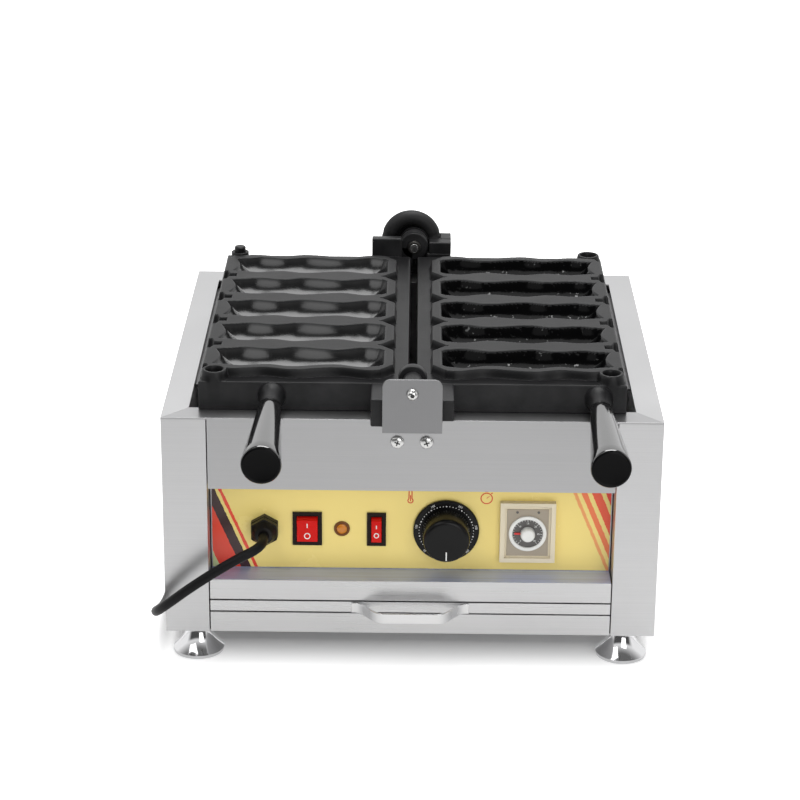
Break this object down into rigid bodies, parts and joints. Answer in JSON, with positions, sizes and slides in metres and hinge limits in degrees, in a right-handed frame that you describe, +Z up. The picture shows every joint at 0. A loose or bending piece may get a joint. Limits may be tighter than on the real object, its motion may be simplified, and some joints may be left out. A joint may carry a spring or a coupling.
{
  "type": "taiyaki maker",
  "caption": "Countertop batter cooker with two hinged mould plates that fold face to face over a steel housing with a crumb tray, dial, timer and rocker switches.",
  "frame": {"origin": "centre of the footprint at the level of the feet, cord left out", "axes": "+X to the right and +Y to the back as seen from the controls, +Z up"},
  "size_m": [0.4387, 0.6632, 0.2917],
  "materials": {
    "panel_steel": "fine satin grain, bright folded edges",
    "inner_steel": "plain mill finish",
    "bracket_steel": "satin, with bright cut edges",
    "screw_zinc": "bright zinc",
    "foot_chrome": "polished",
    "pull_steel": "polished strap",
    "black_casting": "cast, black non-stick coat, satin",
    "black_bracket": "black paint",
    "sleeve_rubber": "matt heat-proof rubber",
    "grip_bakelite": "polished black",
    "overlay_print": "printed film with striped ends",
    "switch_black": "dark moulding",
    "rocker_red": "translucent red",
    "lamp_ring": "amber moulding",
    "lamp_amber": "amber lens",
    "dial_black": "black moulding with a plain white scale",
    "part_plastic": "plain moulding",
    "timer_beige": "beige moulding under a clear cover",
    "timer_white": "white moulding",
    "gland_black": "black nylon",
    "cord_black": "black sheath, satin",
    "plug_black": "moulded rubbery plastic",
    "pin_brass": "nickel-plated brass",
    "heater_sheath": "dull sheath"
  },
  "bodies": {
    "housing": {"side_panel_left": "panel_steel", "side_panel_right": "panel_steel", "front_apron": "panel_steel", "ledge": "panel_steel", "bottom_rail": "panel_steel", "back_panel": "panel_steel", "control_panel": "inner_steel", "base_plate": "inner_steel", "inner_shield": "inner_steel", "plate_rests": "inner_steel", "tray_runners": "inner_steel", "front_hinge_bracket": "bracket_steel", "front_pivot_bolt": "screw_zinc", "front_pivot_nut": "screw_zinc", "bracket_screws": "screw_zinc", "rear_pivot_bolt": "screw_zinc", "rear_pivot_nut": "screw_zinc", "bearing_screws": "screw_zinc", "foot_front_left": "foot_chrome", "foot_front_right": "foot_chrome", "foot_rear_left": "foot_chrome", "foot_rear_right": "foot_chrome", "rear_bearing": "black_bracket", "lead_sleeve": "sleeve_rubber", "panel_overlay": "overlay_print", "power_switch_frame": "switch_black", "alarm_switch_frame": "switch_black", "lamp_bezel": "lamp_ring", "lamp_lens": "lamp_amber", "thermostat": "part_plastic", "relay": "part_plastic", "buzzer": "part_plastic", "terminal_block": "part_plastic", "timer_case": "timer_beige", "cord_gland": "gland_black", "gland_nut": "gland_black", "cord_tie": "gland_black", "cord_run": "cord_black", "cord_coil": "cord_black", "cord_tail": "cord_black", "plug_body": "plug_black", "plug_pins": "pin_brass"},
    "left_mould": {"left_plate": "black_casting", "left_heater": "heater_sheath", "left_heater_clamp": "inner_steel", "left_clamp_nuts": "screw_zinc", "left_grip": "grip_bakelite"},
    "right_mould": {"right_plate": "black_casting", "right_heater": "heater_sheath", "right_heater_clamp": "inner_steel", "right_clamp_nuts": "screw_zinc", "right_grip": "grip_bakelite"},
    "tray": {"crumb_tray": "inner_steel", "tray_front": "panel_steel", "tray_handle": "pull_steel"},
    "power_rocker": {"power_rocker": "rocker_red"},
    "alarm_rocker": {"alarm_rocker": "rocker_red"},
    "thermostat_knob": {"thermostat_knob": "dial_black"},
    "timer_knob": {"timer_knob": "timer_white"}
  },
  "joints": [
    {"name": "left_plate_hinge", "type": "hinge", "parent": "housing", "child": "left_mould", "pos_m": [0, 0.04875, 0.2627], "axis": [0, 1, 0], "range_deg": [0, 180]},
    {"name": "right_plate_hinge", "type": "hinge", "parent": "housing", "child": "right_mould", "pos_m": [0, 0.04875, 0.2627], "axis": [0, 1, 0], "range_deg": [-180, 0]},
    {"name": "tray_slide", "type": "slide", "parent": "housing", "child": "tray", "axis": [0, -1, 0], "range_m": [0, 0.22]},
    {"name": "power_switch_tilt", "type": "hinge", "parent": "housing", "child": "power_rocker", "pos_m": [-0.09, -0.11685, 0.118], "axis": [-1, 0, 0], "range_deg": [0, 18]},
    {"name": "alarm_switch_tilt", "type": "hinge", "parent": "housing", "child": "alarm_rocker", "pos_m": [-0.03, -0.11685, 0.118], "axis": [-1, 0, 0], "range_deg": [0, 18]},
    {"name": "thermostat_turn", "type": "hinge", "parent": "housing", "child": "thermostat_knob", "pos_m": [0.0305, -0.13125, 0.118], "axis": [0, 1, 0], "range_deg": [0, 290]},
    {"name": "timer_turn", "type": "hinge", "parent": "housing", "child": "timer_knob", "pos_m": [0.101, -0.12525, 0.117], "axis": [0, 1, 0], "range_deg": [0, 300]}
  ]
}
